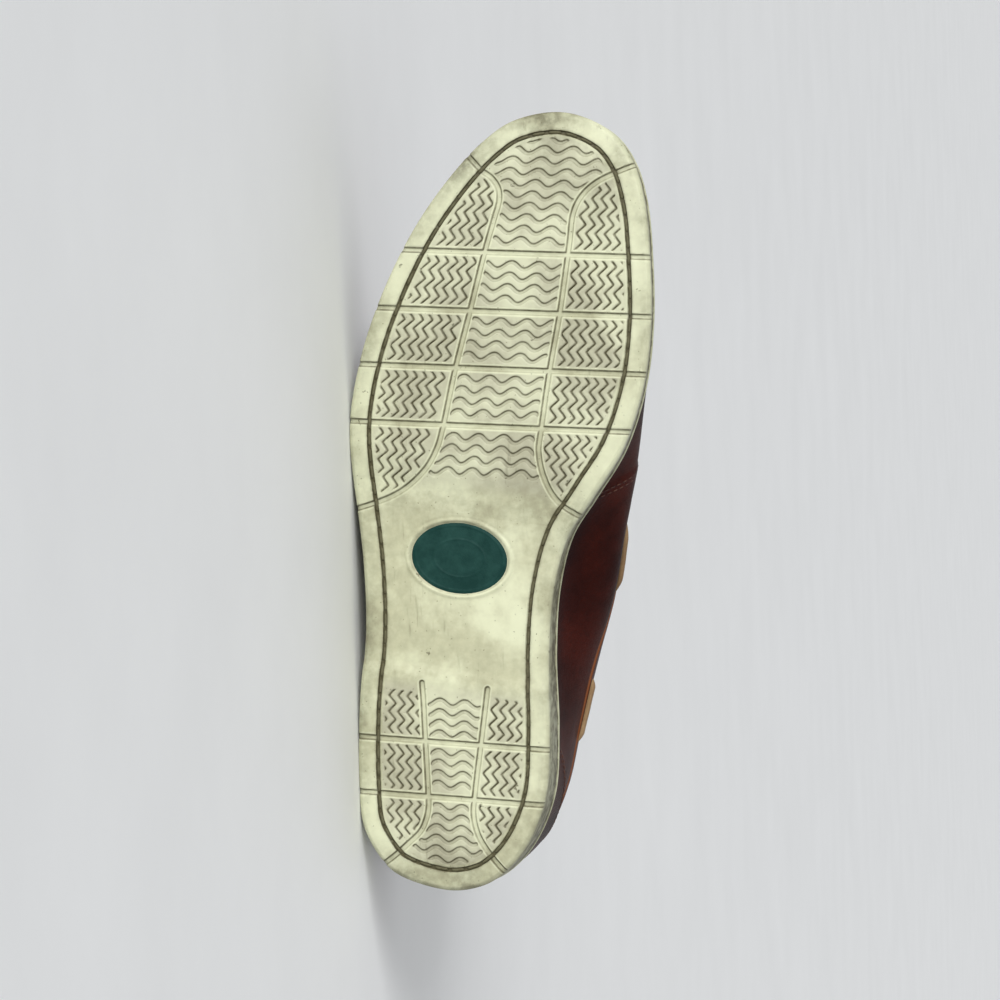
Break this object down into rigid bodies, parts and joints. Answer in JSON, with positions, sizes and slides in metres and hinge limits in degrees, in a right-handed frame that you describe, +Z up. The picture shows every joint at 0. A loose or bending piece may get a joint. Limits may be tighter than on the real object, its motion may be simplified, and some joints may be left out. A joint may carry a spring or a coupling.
{
  "type": "boat shoe",
  "caption": "Leather boat shoe for the right foot, lying empty on its side, with a cream rubber sole with a wavy siped tread.",
  "frame": {"origin": "centre of the bounding box on the floor that the shoe lies on", "axes": "+Z up; heel to toe runs along -X; the sole faces -Y and the medial side +Z"},
  "size_m": [0.2954, 0.0954, 0.1188],
  "materials": {
    "sole_rubber": "matt cream rubber, scuffed, with grey-green dirt in the grooves",
    "upper_leather": "red-brown oiled leather, darker towards the sole",
    "collar_leather": "soft dark brown leather band",
    "footbed": "tan leather footbed and lining",
    "rawhide": "tan rawhide lace",
    "eyelet_brass": "dull brass"
  },
  "bodies": {
    "root": {"outsole": "sole_rubber", "upper": "upper_leather", "tongue": "upper_leather", "insole": "footbed", "collar_band": "collar_leather", "heel_counter": "upper_leather", "eyestay_medial": "upper_leather", "eyestay_lateral": "upper_leather", "lace_bars": "rawhide", "collar_lace_medial_front": "rawhide", "collar_lace_lateral_front": "rawhide", "collar_lace_medial_back": "rawhide", "collar_lace_lateral_back": "rawhide", "eyelet_medial_1": "eyelet_brass", "eyelet_lateral_1": "eyelet_brass", "eyelet_medial_2": "eyelet_brass", "eyelet_lateral_2": "eyelet_brass"}
  },
  "joints": []
}
